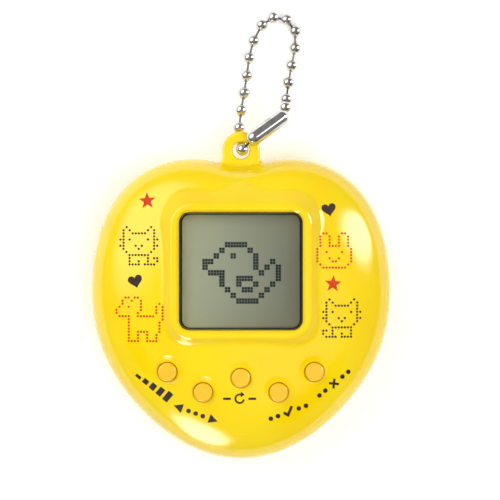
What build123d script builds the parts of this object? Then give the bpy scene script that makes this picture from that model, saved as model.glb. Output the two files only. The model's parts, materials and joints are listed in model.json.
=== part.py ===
"""Heart-shaped virtual pet keychain, in millimetres.

The toy lies on its flat back. +Z points out of the front face, +Y towards the keychain lug and
+X to the right of a person looking at the screen. The origin is on the flat back face, at the
middle of the body's width and height.
"""
from build123d import *
import math
import os

# ----------------------------------------------------------------------------------------------
# Driving dimensions (mm)
# ----------------------------------------------------------------------------------------------
# Heart outline: distance from the heart's centre as a cosine series of the angle measured from
# +Y, less a soft notch at the top where the keychain lug leaves.
HEART_CENTRE_Y = 3.0
HEART_SERIES = (24.37, -1.41, 0.07, -1.09, -0.35, -0.36)
NOTCH_DEPTH = 1.35
NOTCH_WIDTH_DEG = 14.0
OUTLINE_POINTS = 60
SECTION_COUNT = 12             # horizontal sections that each bowl is lofted through
PROFILE_STEPS = 2000
DOME_LAST_TURN = 74.0          # where the dome's profile stops, under the screen frame

# Body profile
SPLIT_Z = 7.0                  # parting line between the shells, above the flat back
FRONT_RISE = 9.5               # dome apex above the parting line
FRONT_FULLNESS = 2.5           # superellipse exponent of the front profile
REAR_DROP = 7.6                # the rear bowl would reach this deep; z = 0 cuts it flat
REAR_FULLNESS = 3.0
APEX_SHIFT_Y = 3.1             # the dome's apex sits this far above the heart's centre
WALL = 1.6
FLOOR = 1.6                    # thickness of the flat back
LIP_THICKNESS = 0.75
LIP_HEIGHT = 1.0
LIP_GAP = 0.05

# Screen frame and window
WINDOW_Y = 6.1
FRAME_TOP_Z = 16.9
FRAME_WIDTH = 22.0
FRAME_HEIGHT = 21.0
FRAME_CORNER = 3.4
FRAME_FLANK = 4.0              # depth of the frame's 45 degree flanks
FRAME_CREST_RADIUS = 0.8
FRAME_ROOT_RADIUS = 1.6        # soft valley where the flanks meet the dome
LENS_WIDTH = 19.4
LENS_HEIGHT = 18.5
LENS_CORNER = 1.65
LENS_THICKNESS = 1.0
LENS_RECESS = 0.4
LENS_GAP = 0.05
LENS_BEVEL = 0.2
FRAME_INNER_BEVEL = 0.35
VIEW_WIDTH = 18.5
VIEW_HEIGHT = 17.7
VIEW_CORNER = 1.25

# Liquid crystal display, from the front polariser down
LCD_TOP_Z = 14.2
POLARISER_THICKNESS = 0.2
GLASS_THICKNESS = 0.7
GLASS_HALF_WIDTH = 10.8
GLASS_GAP = 0.15
GLASS_TOP_Y = 16.4
FRONT_GLASS_BOTTOM_Y = -7.0    # the front glass is longer and carries the contact ledge
REAR_GLASS_BOTTOM_Y = -4.4
ZEBRA_WIDTH = 1.8
ZEBRA_LENGTH = 19.0

# Circuit board
BOARD_BACK_Z = 9.7
BOARD_THICKNESS = 1.0
BOARD_INSET = 4.6
BOARD_SCREW_PLACES = ((-15.8, 1.0), (15.8, 1.0))
BOARD_SCREW_RADIUS = 0.6
BOARD_POST_RADIUS = 1.5
HOLDER_WALL = 0.6              # the display's holder stands this far outside the glass
HOLDER_RIM = 1.6               # and carries this much of its edge
CHIP_Y = 12.5
CHIP_RADIUS = 4.2
CHIP_HEIGHT = 1.0
RESISTOR_PLACES = ((-9, 11), (-9, 13.4), (9, 11))
CAPACITOR_PLACES = ((9, 13.4), (8, -9))

# Buttons: three across the chin and two at its corners, all pressed along -Z
BUTTON_PLACES = {
    "left": (-11.6, -9.8),
    "lower_left": (-5.95, -13.0),
    "middle": (0.0, -10.7),
    "lower_right": (5.95, -13.0),
    "right": (11.6, -9.8),
}
BUTTON_RADIUS = 1.5
BUTTON_STANDS = 0.75           # height of the cap's crown above the shell around it
BUTTON_TRAVEL = 0.6
BUTTON_CROWN = 0.35
BUTTON_GAP = 0.12
DISH_BALL_RADIUS = 8.0         # ball that presses a shallow dish round each button
DISH_DEPTH = 0.26
DISH_SHIFT = 0.5               # the dish lies this far towards the window from its button
FLANGE_RADIUS = 2.2
FLANGE_THICKNESS = 0.5
FLANGE_GAP = 0.1               # play above the flange, and 0.2 round it
CEILING_WALL = 0.85            # shell left above a button's flange, on the downhill side
PLUNGER_RADIUS = 1.2
PLUNGER_BOTTOM_Z = 12.2
DOME_BASE_RADIUS = 2.1
DOME_RIM = 0.3                 # height of the rubber dome's rim
DOME_RIM_WIDTH = 0.5
DOME_WALL = 0.3
DOME_TOP = 0.35
PILL_RADIUS = 0.8
PILL_GAP = 0.25                # left open under the pill when the button is fully pressed

# Power
CELL_RADIUS = 5.8              # two 11.6 x 5.4 mm button cells, side by side
CELL_HEIGHT = 5.4
CELL_X = 5.95
CELL_Y = 4.0
CELL_BOTTOM_Z = 1.65
BAY_HALF_WIDTH = 11.9
BAY_HALF_HEIGHT = 5.95
BAY_ROOF_Z = 7.35
BAY_ROOF_THICKNESS = 0.9
BAY_RIM = 1.0                  # floor kept round the cover as its rim
COVER_WIDTH = 24.8
COVER_HEIGHT = 13.6
COVER_Y = 3.4
COVER_CORNER = 2.0
COVER_THICKNESS = 1.4
COVER_GAP = 0.15
COVER_SCREW_Y = -1.9
COVER_SCREW_RADIUS = 0.7
COVER_SCREW_TIP_Z = 5.6
COVER_BOSS_RADIUS = 1.7
COVER_RIB_PITCH = 0.8
CONTACT_THICKNESS = 0.2
CONTACT_HALF_WIDTH = 1.6
TAB_HALF_WIDTH = 1.0

# Sounder
BUZZER_Y = -10.2
BUZZER_RADIUS = 5.0
BUZZER_SEAT_Z = 2.3
BUZZER_SHEET = 0.2             # thickness of the brass and of the ceramic
BUZZER_CERAMIC_RADIUS = 3.6
LEAD_RADIUS = 0.3
LEAD_BEND_RADIUS = 0.8
SOUND_HOLE_RADIUS = 0.5
SOUND_HOLE_CIRCLE = 2.0

# Case screws, from the back
CASE_SCREW_PLACES = ((-15.0, 13.2), (15.0, 13.2), (0.0, -17.8))
SCREW_SHANK_RADIUS = 0.8
SCREW_HEAD_RADIUS = 1.5
SCREW_HEAD_HEIGHT = 0.8
SCREW_WELL_DEPTH = 2.2
POST_RADIUS = 2.1
POST_BITE = 0.8                # the front posts run this far into the dome's wall

# Keychain lug
LUG_HOLE_Y = 25.35
LUG_HOLE_RADIUS = 1.35
LUG_RADIUS = 3.0
LUG_FOOT = 5.0                 # the tab reaches this far from its hole into the dome
LUG_BOTTOM_Z = 7.3
LUG_TOP_Z = 9.3
LUG_EDGE_RADIUS = 0.45
LUG_ROOT_RADIUS = 0.8          # concave blend between the lug and the dome

# Ball chain: hollow beads joined by dumbbell links. The centres follow the chain from the lug,
# down behind it to the surface the toy lies on, round the loop and up into the connector.
BEAD_RADIUS = 1.0
BEAD_WALL = 0.15
BEAD_HOLE_RADIUS = 0.3
LINK_RADIUS = 0.17
LINK_HEAD_RADIUS = 0.32
LINK_PIVOT = 0.92              # a link bends this far from the centre of the bead it enters
LINK_HEAD_DEPTH = 0.5          # and its head lies this far beyond the bend
BEAD_CENTRES = (
    (0.2, 25.45, 9.15),
    (0.1, 26.3, 6.2),
    (-0.3, 29.1, 5.3),
    (0.0, 31.95, 4.4),
    (0.5, 34.8, 3.5),
    (0.9, 37.65, 2.6),
    (1.3, 40.6, 1.9),
    (2.0, 43.4, 1.3),
    (3.35, 45.95, 1.0),
    (5.2, 47.2, 1.0),
    (7.4, 46.8, 1.0),
    (8.8, 44.95, 1.0),
    (8.75, 42.15, 1.3),
    (8.2, 39.3, 2.0),
    (7.65, 36.5, 2.9),
    (7.3, 33.75, 4.1),
    (7.1, 32.3, 6.6),
    (6.5, 30.55, 8.9),
    (2.05, 27.25, 10.8),
)
CONNECTOR_RADIUS = 1.25
CONNECTOR_BORE = 1.06
CONNECTOR_SLOT = 0.31

# Derived levels
LENS_TOP_Z = FRAME_TOP_Z - LENS_RECESS
LENS_SEAT_Z = LENS_TOP_Z - LENS_THICKNESS
POCKET_Z = LCD_TOP_Z + 0.05
FRONT_GLASS_TOP_Z = LCD_TOP_Z - POLARISER_THICKNESS
REAR_GLASS_TOP_Z = FRONT_GLASS_TOP_Z - GLASS_THICKNESS
REFLECTOR_TOP_Z = REAR_GLASS_TOP_Z - GLASS_THICKNESS
LCD_BOTTOM_Z = REFLECTOR_TOP_Z - POLARISER_THICKNESS
BOARD_TOP_Z = BOARD_BACK_Z + BOARD_THICKNESS
CELL_TOP_Z = CELL_BOTTOM_Z + CELL_HEIGHT
BAY_TOP_Z = BAY_ROOF_Z + BAY_ROOF_THICKNESS


# ----------------------------------------------------------------------------------------------
# Body form
# ----------------------------------------------------------------------------------------------
def heart_reach(degrees):
    """Distance from the heart's centre to its outline, for an angle from +Y."""
    turn = math.radians(degrees)
    reach = sum(amount * math.cos(order * turn) for order, amount in enumerate(HEART_SERIES))
    return reach - NOTCH_DEPTH * math.exp(-((degrees / NOTCH_WIDTH_DEG) ** 2))


def section_centre_y(size):
    """The centre of a section of relative size 0 to 1 drifts up towards the dome's apex."""
    return HEART_CENTRE_Y + APEX_SHIFT_Y * (1 - size)


def heart_wire(size, z, inset=0.0):
    """One closed horizontal section of the body."""
    points = []
    for index in range(OUTLINE_POINTS):
        degrees = 360 * index / OUTLINE_POINTS - 180
        reach = size * (heart_reach(degrees) - inset)
        turn = math.radians(degrees)
        points.append((reach * math.sin(turn), section_centre_y(size) + reach * math.cos(turn), z))
    return Wire([Spline(points, periodic=True)])


def heart_plate(bottom_z, top_z, inset):
    """A flat plate with the heart's outline."""
    face = Face(heart_wire(1.0, bottom_z, inset))
    return extrude(face, amount=top_z - bottom_z, dir=(0, 0, 1))


def profile_point(turn, height, fullness):
    """Relative size and rise of the superellipse profile, for a parameter from 0 to 90 degrees."""
    size = math.cos(math.radians(turn)) ** (2 / fullness)
    rise = height * math.sin(math.radians(turn)) ** (2 / fullness)
    return size, rise


def even_turns(height, fullness, last_turn):
    """Profile parameters that space the sections evenly along the profile's length."""
    fine_turns = [last_turn * step / PROFILE_STEPS for step in range(PROFILE_STEPS + 1)]
    lengths = [0.0]
    for before, after in zip(fine_turns, fine_turns[1:]):
        size_before, rise_before = profile_point(before, height, fullness)
        size_after, rise_after = profile_point(after, height, fullness)
        run = heart_reach(90) * (size_before - size_after)
        lengths.append(lengths[-1] + math.hypot(run, rise_after - rise_before))
    chosen = []
    for section in range(SECTION_COUNT):
        wanted = lengths[-1] * section / (SECTION_COUNT - 1)
        nearest = min(range(len(lengths)), key=lambda index: abs(lengths[index] - wanted))
        chosen.append(fine_turns[nearest])
    return chosen


def heart_bowl(height, fullness, inset, last_turn, side):
    """Solid with a superellipse profile, from the parting line to its flat last section."""
    wires = []
    for turn in even_turns(height, fullness, last_turn):
        size, rise = profile_point(turn, height, fullness)
        wires.append(heart_wire(size, SPLIT_Z + side * rise, inset))
    return Solid.make_loft(wires)


def front_bowl(inset):
    """The front dome; the screen frame covers its flat last section."""
    return heart_bowl(FRONT_RISE - inset, FRONT_FULLNESS, inset, DOME_LAST_TURN, 1)


def rear_bowl(inset, floor_z):
    """The rear bowl, cut flat at the floor."""
    height = REAR_DROP - inset
    part_way = (SPLIT_Z - floor_z) / height
    last_turn = math.degrees(math.asin(part_way ** (REAR_FULLNESS / 2)))
    return heart_bowl(height, REAR_FULLNESS, inset, last_turn, -1)


def front_height(x, y, inset=0.0):
    """Height of the front dome's outer or inner surface over a point."""
    size = 0.5
    for _ in range(30):
        rise_y = y - section_centre_y(size)
        degrees = math.degrees(math.atan2(x, rise_y))
        size = math.hypot(x, rise_y) / (heart_reach(degrees) - inset)
    profile = max(0.0, 1 - size ** FRONT_FULLNESS) ** (1 / FRONT_FULLNESS)
    return SPLIT_Z + (FRONT_RISE - inset) * profile


# ----------------------------------------------------------------------------------------------
# Small helpers
# ----------------------------------------------------------------------------------------------
def block(x_range, y_range, z_range):
    """Box given by its ranges."""
    low = (x_range[0], y_range[0], z_range[0])
    size = (x_range[1] - low[0], y_range[1] - low[1], z_range[1] - low[2])
    middle = [start + length / 2 for start, length in zip(low, size)]
    return Pos(*middle) * Box(*size)


def upright(radius, x, y, bottom_z, top_z):
    """Vertical cylinder between two levels."""
    return Pos(x, y, (bottom_z + top_z) / 2) * Cylinder(radius, top_z - bottom_z)


def rounded_plate(width, height, corner, y, bottom_z, top_z):
    """Plate with rounded corners, centred on x = 0."""
    outline = Pos(0, y, bottom_z) * RectangleRounded(width, height, corner)
    return extrude(outline, amount=top_z - bottom_z)


def stick(start, end, radius):
    """Round rod between two points."""
    run = Vector(*end) - Vector(*start)
    plane = Plane(origin=start, z_dir=run)
    return plane * Pos(0, 0, run.length / 2) * Cylinder(radius, run.length)


def edges_at(solid, z):
    """Edges that lie flat at one level."""
    return solid.edges().filter_by_position(Axis.Z, z - 0.001, z + 0.001)


# ----------------------------------------------------------------------------------------------
# Shells
# ----------------------------------------------------------------------------------------------
def screen_frame():
    """Raised frame round the window, with flanks that run down into the dome."""
    top = Pos(0, WINDOW_Y, FRAME_TOP_Z) * RectangleRounded(FRAME_WIDTH, FRAME_HEIGHT, FRAME_CORNER)
    frame = extrude(top, amount=-FRAME_FLANK, taper=-45)
    return fillet(edges_at(frame, FRAME_TOP_Z), FRAME_CREST_RADIUS)


def lug():
    """Round-topped tab with the keychain hole, rounded at its edges."""
    foot_y = LUG_HOLE_Y - LUG_FOOT
    tab = upright(LUG_RADIUS, 0, LUG_HOLE_Y, LUG_BOTTOM_Z, LUG_TOP_Z)
    tab += block((-LUG_RADIUS, LUG_RADIUS), (foot_y, LUG_HOLE_Y), (LUG_BOTTOM_Z, LUG_TOP_Z))
    tab -= upright(LUG_HOLE_RADIUS, 0, LUG_HOLE_Y, LUG_BOTTOM_Z - 1, LUG_TOP_Z + 1)
    rims = edges_at(tab, LUG_TOP_Z) + edges_at(tab, LUG_BOTTOM_Z)
    outer = [edge for edge in rims if edge.center().Y > foot_y + 0.1]
    return fillet(outer, LUG_EDGE_RADIUS)


def runs_on_dome(edge):
    """Whether an edge lies on the outside of the dome."""
    for share in (0.2, 0.5, 0.8):
        point = edge @ share
        if abs(point.Z - front_height(point.X, point.Y)) > 0.02:
            return False
    return True


def frame_root_edges(body):
    """The loop of edges where the screen frame's flanks run into the dome."""
    reach_x = FRAME_WIDTH / 2 + FRAME_FLANK
    reach_y = FRAME_HEIGHT / 2 + FRAME_FLANK
    found = []
    for edge in body.edges():
        span = edge.bounding_box()
        within_x = -reach_x < span.min.X and span.max.X < reach_x
        within_y = WINDOW_Y - reach_y < span.min.Y and span.max.Y < WINDOW_Y + reach_y
        if within_x and within_y and runs_on_dome(edge):
            found.append(edge)
    return found


def lug_root_edges(body):
    """The loop of edges where the lug runs into the dome."""
    cleft_y = HEART_CENTRE_Y + heart_reach(0)
    found = []
    for edge in body.edges():
        span = edge.bounding_box()
        beside = abs(edge.center().X) < LUG_RADIUS + 0.01
        if beside and span.min.Y > cleft_y - 0.5 and span.max.Y < cleft_y + 0.5:
            found.append(edge)
    return found


def button_dish(place):
    """Ball that presses a shallow dish into the dome round a button, deepest on its uphill side."""
    x, y = place
    step = 0.1
    slope_x = (front_height(x + step, y) - front_height(x - step, y)) / (2 * step)
    slope_y = (front_height(x, y + step) - front_height(x, y - step)) / (2 * step)
    normal = Vector(-slope_x, -slope_y, 1).normalized()
    uphill = Vector(-x, WINDOW_Y - y).normalized() * DISH_SHIFT
    centre = Vector(x, y, front_height(x, y)) + normal * (DISH_BALL_RADIUS - DISH_DEPTH) + uphill
    return Pos(*centre) * Sphere(DISH_BALL_RADIUS)


def button_ceiling(place):
    """Level of the pocket above a button's flange, set by the shell on its downhill side."""
    away = Vector(place[0], place[1] - WINDOW_Y).normalized() * FLANGE_RADIUS
    return front_height(place[0] + away.X, place[1] + away.Y) - CEILING_WALL


def front_shell():
    """Domed front with the screen frame, lug, button holes and the pocket that holds the display."""
    shell = front_bowl(0) + lug()
    for place in BUTTON_PLACES.values():
        shell -= button_dish(place)
    shell += screen_frame()
    shell -= front_bowl(WALL)
    shell -= lip_ring(LIP_GAP)
    shell = cut_window(shell)
    for place in BUTTON_PLACES.values():
        ceiling = button_ceiling(place)
        shell -= upright(BUTTON_RADIUS + BUTTON_GAP, *place, ceiling - 1, FRAME_TOP_Z)
        shell -= upright(FLANGE_RADIUS + 2 * FLANGE_GAP, *place, BOARD_TOP_Z, ceiling)
    for x, y in CASE_SCREW_PLACES:
        post = upright(POST_RADIUS, x, y, SPLIT_Z, front_height(x, y, WALL) + POST_BITE)
        shell += post - upright(SCREW_SHANK_RADIUS, x, y, SPLIT_Z - 1, SPLIT_Z + 4)
    for x, y in BOARD_SCREW_PLACES:
        post = upright(BOARD_POST_RADIUS, x, y, BOARD_TOP_Z, front_height(x, y, WALL) + POST_BITE)
        shell += post - upright(BOARD_SCREW_RADIUS, x, y, BOARD_TOP_Z - 1, BOARD_TOP_Z + 1.6)
    shell = fillet(frame_root_edges(shell), FRAME_ROOT_RADIUS)
    return fillet(lug_root_edges(shell), LUG_ROOT_RADIUS)


def cut_window(shell):
    """Cuts the pocket for the display, the view opening, the lens's seat and its bevelled mouth."""
    shell -= block(
        (-GLASS_HALF_WIDTH - GLASS_GAP, GLASS_HALF_WIDTH + GLASS_GAP),
        (FRONT_GLASS_BOTTOM_Y - GLASS_GAP, GLASS_TOP_Y + GLASS_GAP),
        (SPLIT_Z + 2, POCKET_Z),
    )
    shell -= rounded_plate(
        VIEW_WIDTH, VIEW_HEIGHT, VIEW_CORNER, WINDOW_Y, POCKET_Z - 1, FRAME_TOP_Z)
    shell -= rounded_plate(
        LENS_WIDTH + 2 * LENS_GAP, LENS_HEIGHT + 2 * LENS_GAP, LENS_CORNER + LENS_GAP,
        WINDOW_Y, LENS_SEAT_Z, FRAME_TOP_Z + 1,
    )
    return shell - window_bevel()


def window_bevel():
    """Flared cutter for the bevel between the frame's crest and the lens."""
    start_z = FRAME_TOP_Z - FRAME_INNER_BEVEL
    mouth = RectangleRounded(
        LENS_WIDTH + 2 * LENS_GAP, LENS_HEIGHT + 2 * LENS_GAP, LENS_CORNER + LENS_GAP)
    return extrude(Pos(0, WINDOW_Y, start_z) * mouth, amount=2 * FRAME_INNER_BEVEL, taper=-45)


def lip_ring(gap):
    """Raised lip that locates the shells; with a gap, the rebate that takes it."""
    outer = heart_plate(SPLIT_Z - 0.6, SPLIT_Z + LIP_HEIGHT + gap, WALL - LIP_THICKNESS - gap)
    return outer - heart_plate(SPLIT_Z - 1, SPLIT_Z + LIP_HEIGHT + 1, WALL)


def rear_shell():
    """Bowl-shaped back with the battery bay, screw posts, locating lip and sounder seat."""
    shell = rear_bowl(0, 0) - rear_bowl(WALL, FLOOR)
    shell += block(
        (-COVER_WIDTH / 2 - BAY_RIM, COVER_WIDTH / 2 + BAY_RIM),
        (COVER_Y - COVER_HEIGHT / 2 - BAY_RIM, COVER_Y + COVER_HEIGHT / 2 + BAY_RIM),
        (FLOOR - 0.5, BAY_TOP_Z),
    )
    for x, y in CASE_SCREW_PLACES:
        shell += upright(POST_RADIUS, x, y, FLOOR - 0.2, SPLIT_Z)
    seat = upright(BUZZER_RADIUS + 0.1, 0, BUZZER_Y, FLOOR - 0.2, BUZZER_SEAT_Z)
    shell += seat - upright(BUZZER_RADIUS - 1, 0, BUZZER_Y, 0, BUZZER_SEAT_Z + 1)
    shell += lip_ring(0)
    shell = cut_battery_bay(shell)
    for x, y in CASE_SCREW_PLACES:
        shell -= upright(SCREW_HEAD_RADIUS + 0.2, x, y, -1, SCREW_WELL_DEPTH)
        shell -= upright(SCREW_SHANK_RADIUS, x, y, 0, SPLIT_Z + 1)
    for index in range(5):
        turn = math.radians(90 * index)
        ring = SOUND_HOLE_CIRCLE if index else 0
        place = (ring * math.cos(turn), BUZZER_Y + ring * math.sin(turn))
        shell -= upright(SOUND_HOLE_RADIUS, *place, -1, FLOOR + 0.5)
    return shell


def cut_battery_bay(shell):
    """Cuts the bay for the cells, leaves the boss for the cover's screw and cuts the cover's seat."""
    shell -= block(
        (-BAY_HALF_WIDTH, BAY_HALF_WIDTH),
        (CELL_Y - BAY_HALF_HEIGHT, CELL_Y + BAY_HALF_HEIGHT),
        (-1, BAY_ROOF_Z),
    )
    shell += upright(COVER_BOSS_RADIUS, 0, COVER_SCREW_Y, COVER_THICKNESS + 0.1, BAY_ROOF_Z + 0.1)
    shell -= rounded_plate(
        COVER_WIDTH + 2 * COVER_GAP, COVER_HEIGHT + 2 * COVER_GAP, COVER_CORNER + COVER_GAP,
        COVER_Y, -1, COVER_THICKNESS + 0.05,
    )
    shell -= upright(COVER_SCREW_RADIUS + 0.06, 0, COVER_SCREW_Y, 0, COVER_SCREW_TIP_Z + 0.9)
    for side in (-1, 1):
        shell -= contact_slot(side)
    return shell


# ----------------------------------------------------------------------------------------------
# Screen
# ----------------------------------------------------------------------------------------------
def window_lens():
    """Clear window with a bevelled front edge, seated in the frame."""
    lens = rounded_plate(LENS_WIDTH, LENS_HEIGHT, LENS_CORNER, WINDOW_Y, LENS_SEAT_Z, LENS_TOP_Z)
    return chamfer(edges_at(lens, LENS_TOP_Z), LENS_BEVEL)


def glass_sheet(half_width, bottom_y, top_z, thickness):
    """One sheet of the display's stack."""
    return block((-half_width, half_width), (bottom_y, GLASS_TOP_Y), (top_z - thickness, top_z))


def lcd_parts():
    """The four sheets of the display."""
    return {
        "lcd_front_polariser": glass_sheet(
            GLASS_HALF_WIDTH - 0.3, REAR_GLASS_BOTTOM_Y + 0.3, LCD_TOP_Z, POLARISER_THICKNESS),
        "lcd_front_glass": glass_sheet(
            GLASS_HALF_WIDTH, FRONT_GLASS_BOTTOM_Y, FRONT_GLASS_TOP_Z, GLASS_THICKNESS),
        "lcd_rear_glass": glass_sheet(
            GLASS_HALF_WIDTH, REAR_GLASS_BOTTOM_Y, REAR_GLASS_TOP_Z, GLASS_THICKNESS),
        "lcd_reflector": glass_sheet(
            GLASS_HALF_WIDTH - 0.3, REAR_GLASS_BOTTOM_Y + 0.3, REFLECTOR_TOP_Z, POLARISER_THICKNESS),
    }


def zebra_strip():
    """Layered rubber strip that joins the front glass's contact ledge to the board."""
    middle_y = (FRONT_GLASS_BOTTOM_Y + REAR_GLASS_BOTTOM_Y) / 2
    return block(
        (-ZEBRA_LENGTH / 2, ZEBRA_LENGTH / 2),
        (middle_y - ZEBRA_WIDTH / 2, middle_y + ZEBRA_WIDTH / 2),
        (BOARD_TOP_Z, REAR_GLASS_TOP_Z),
    )


def lcd_holder():
    """Plastic frame that carries the display above the board and keeps the zebra strip upright."""
    half_width = GLASS_HALF_WIDTH + HOLDER_WALL
    top_y = GLASS_TOP_Y + HOLDER_WALL
    holder = block(
        (-half_width, half_width),
        (FRONT_GLASS_BOTTOM_Y - HOLDER_WALL, top_y),
        (BOARD_TOP_Z, LCD_BOTTOM_Z),
    )
    holder -= block(
        (-GLASS_HALF_WIDTH + HOLDER_RIM + 0.2, GLASS_HALF_WIDTH - HOLDER_RIM - 0.2),
        (REAR_GLASS_BOTTOM_Y + HOLDER_RIM, GLASS_TOP_Y - HOLDER_RIM),
        (0, LCD_BOTTOM_Z + 1),
    )
    middle_y = (FRONT_GLASS_BOTTOM_Y + REAR_GLASS_BOTTOM_Y) / 2
    slot_half = ZEBRA_WIDTH / 2 + 0.1
    holder -= block(
        (-ZEBRA_LENGTH / 2 - 0.2, ZEBRA_LENGTH / 2 + 0.2),
        (middle_y - slot_half, middle_y + slot_half),
        (0, LCD_BOTTOM_Z + 1),
    )
    for side in (-1, 1):
        corner = Pos(side * half_width, top_y, LCD_BOTTOM_Z) * Rot(0, 0, 45)
        holder -= corner * Box(HOLDER_RIM, HOLDER_RIM, 2 * LCD_BOTTOM_Z)
    return holder


# ----------------------------------------------------------------------------------------------
# Electronics
# ----------------------------------------------------------------------------------------------
def circuit_board():
    """Board with the heart's outline, notched round the case posts and drilled for its screws."""
    board = heart_plate(BOARD_BACK_Z, BOARD_TOP_Z, BOARD_INSET)
    for x, y in CASE_SCREW_PLACES:
        board -= upright(POST_RADIUS + 0.4, x, y, BOARD_BACK_Z - 1, BOARD_TOP_Z + 1)
    for x, y in BOARD_SCREW_PLACES:
        board -= upright(BOARD_SCREW_RADIUS, x, y, BOARD_BACK_Z - 1, BOARD_TOP_Z + 1)
    return board


def chip_blob():
    """Black resin drop over the bare chip, on the back of the board."""
    sphere_radius = (CHIP_RADIUS ** 2 + CHIP_HEIGHT ** 2) / (2 * CHIP_HEIGHT)
    drop_z = BOARD_BACK_Z - CHIP_HEIGHT
    ball = Pos(0, CHIP_Y, drop_z + sphere_radius) * Sphere(sphere_radius)
    reach = (CHIP_Y - CHIP_RADIUS, CHIP_Y + CHIP_RADIUS)
    return ball & block((-CHIP_RADIUS, CHIP_RADIUS), reach, (drop_z, BOARD_BACK_Z))


def chip_row(places, length, width, height):
    """Surface-mount parts on the back of the board, as one group of separate solids."""
    return Compound([
        block((x - length / 2, x + length / 2), (y - width / 2, y + width / 2),
              (BOARD_BACK_Z - height, BOARD_BACK_Z))
        for x, y in places
    ])


def board_screws():
    """Two small screws that hold the board to the front shell."""
    screws = []
    for x, y in BOARD_SCREW_PLACES:
        shank = upright(BOARD_SCREW_RADIUS, x, y, BOARD_BACK_Z, BOARD_TOP_Z + 1.4)
        head = upright(1.1, x, y, BOARD_BACK_Z - 0.8, BOARD_BACK_Z)
        slot = block((x - 0.8, x + 0.8), (y - 0.15, y + 0.15), (BOARD_BACK_Z - 1, BOARD_BACK_Z - 0.4))
        screws.append(shank + head - slot)
    return Compound(screws)


def rubber_dome(place):
    """Silicone dome with the carbon pill that closes the contacts under one button."""
    height = PLUNGER_BOTTOM_Z - BOARD_TOP_Z
    inner_top = height - DOME_TOP
    waist = DOME_BASE_RADIUS - DOME_RIM_WIDTH
    outline = [
        (DOME_BASE_RADIUS, 0),
        (DOME_BASE_RADIUS, DOME_RIM),
        (waist, DOME_RIM),
        (PLUNGER_RADIUS, height),
        (0, height),
        (0, inner_top),
        (PLUNGER_RADIUS - DOME_WALL, inner_top),
        (waist - DOME_WALL - 0.1, 0),
    ]
    with BuildPart() as dome:
        with BuildSketch(Plane.XZ):
            Polygon(outline, align=None)
        revolve(axis=Axis.Z)
    pill = upright(PILL_RADIUS, 0, 0, BUTTON_TRAVEL + PILL_GAP, inner_top)
    return Pos(*place, BOARD_TOP_Z) * Compound([dome.part.solid(), pill])


def button_cap(place):
    """Hard cap: crowned stem in the shell's hole, flange under the shell and a short plunger."""
    top = front_height(*place) + BUTTON_STANDS
    ceiling = button_ceiling(place)
    stem = upright(BUTTON_RADIUS, *place, ceiling - 0.3, top)
    stem = fillet(edges_at(stem, top), BUTTON_CROWN)
    flange_top = ceiling - FLANGE_GAP
    flange = upright(FLANGE_RADIUS, *place, flange_top - FLANGE_THICKNESS, flange_top)
    plunger = upright(PLUNGER_RADIUS, *place, PLUNGER_BOTTOM_Z, ceiling - 0.2)
    return stem + flange + plunger


def buzzer_parts():
    """Brass disc and the silvered ceramic disc bonded to it."""
    brass_top = BUZZER_SEAT_Z + BUZZER_SHEET
    ceramic_top = brass_top + BUZZER_SHEET
    return {
        "buzzer_plate": upright(BUZZER_RADIUS, 0, BUZZER_Y, BUZZER_SEAT_Z, brass_top),
        "buzzer_ceramic": upright(BUZZER_CERAMIC_RADIUS, 0, BUZZER_Y, brass_top, ceramic_top),
    }


def buzzer_lead(foot_x, start_z, side):
    """Insulated lead from the sounder up to the back of the board."""
    foot = (side * foot_x, BUZZER_Y)
    top = (side * 5.5, BUZZER_Y - 1.6)
    route = [
        (*foot, start_z),
        (*foot, start_z + 2.2),
        (*top, start_z + 4.6),
        (*top, BOARD_BACK_Z),
    ]
    path = FilletPolyline(*route, radius=LEAD_BEND_RADIUS)
    section = Plane(origin=route[0], z_dir=(0, 0, 1)) * Circle(LEAD_RADIUS)
    return sweep(section, path=path).solid()


def buzzer_leads():
    """One lead from the brass and one from the ceramic."""
    brass_top = BUZZER_SEAT_Z + BUZZER_SHEET
    from_brass = buzzer_lead(4.3, brass_top, -1)
    from_ceramic = buzzer_lead(2.2, brass_top + BUZZER_SHEET, 1)
    return Compound([from_brass, from_ceramic])


# ----------------------------------------------------------------------------------------------
# Power
# ----------------------------------------------------------------------------------------------
def button_cell(side):
    """Button cell: wide can with the narrower cap of the other pole."""
    x = side * CELL_X
    can = upright(CELL_RADIUS, x, CELL_Y, CELL_BOTTOM_Z, CELL_TOP_Z - 0.5)
    can = fillet(can.edges(), 0.3)
    return can + upright(CELL_RADIUS - 1.2, x, CELL_Y, CELL_TOP_Z - 0.6, CELL_TOP_Z)


def contact_x(side):
    """Where a roof contact's tab rises to the board."""
    return side * (CELL_X + 4.2)


def contact_slot(side):
    """Slot in the bay's roof for a contact's tab."""
    x = contact_x(side)
    return block((x - 1.3, x + 1.3), (CELL_Y - 0.2, CELL_Y + 0.4), (BAY_ROOF_Z - 0.1, BAY_TOP_Z + 0.1))


def roof_contact(side):
    """Leaf on top of one cell with a tab through the bay's roof to the board."""
    x = contact_x(side)
    inner_x = side * (CELL_X - 2.5)
    leaf = block(
        sorted_pair(inner_x, x + side * TAB_HALF_WIDTH),
        (CELL_Y - CONTACT_HALF_WIDTH, CELL_Y + CONTACT_HALF_WIDTH),
        (CELL_TOP_Z, CELL_TOP_Z + CONTACT_THICKNESS),
    )
    tab = block(
        (x - TAB_HALF_WIDTH, x + TAB_HALF_WIDTH),
        (CELL_Y, CELL_Y + CONTACT_THICKNESS),
        (CELL_TOP_Z, BOARD_BACK_Z),
    )
    return leaf + tab


def sorted_pair(first, second):
    """Two values, lower first."""
    return (min(first, second), max(first, second))


def cover_contact():
    """Strip on the inside of the cover that joins the two cells in series."""
    reach = CELL_X + 2
    return block((-reach, reach), (CELL_Y - 1.5, CELL_Y + 1.5), (COVER_THICKNESS, CELL_BOTTOM_Z - 0.05))


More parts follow.
